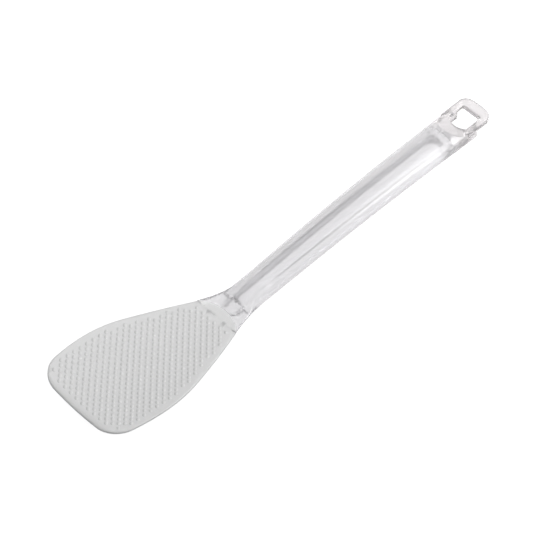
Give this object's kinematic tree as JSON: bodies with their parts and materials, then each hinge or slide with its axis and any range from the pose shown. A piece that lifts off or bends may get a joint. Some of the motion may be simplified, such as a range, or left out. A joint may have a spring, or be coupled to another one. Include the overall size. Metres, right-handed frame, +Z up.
{
  "type": "rice paddle",
  "caption": "Translucent moulded rice paddle: dished blade with a squared-off tip, bent neck, grip hollow underneath, and a clear tab with a window to hang it by.",
  "frame": {"origin": "on the worktop that the paddle stands on, under the middle of its box", "axes": "+X from the blade's tip to the hanging tab, +Y across, +Z up off the worktop"},
  "size_m": [0.2819, 0.0582, 0.0242],
  "materials": {
    "frosted": "frosted translucent moulding, blade with small raised studs",
    "clear": "polished and nearly clear"
  },
  "bodies": {
    "root": {"blade": "frosted", "neck": "frosted", "channel_nose": "frosted", "handle": "frosted", "end_block": "clear", "hanging_tab": "clear"}
  },
  "joints": []
}
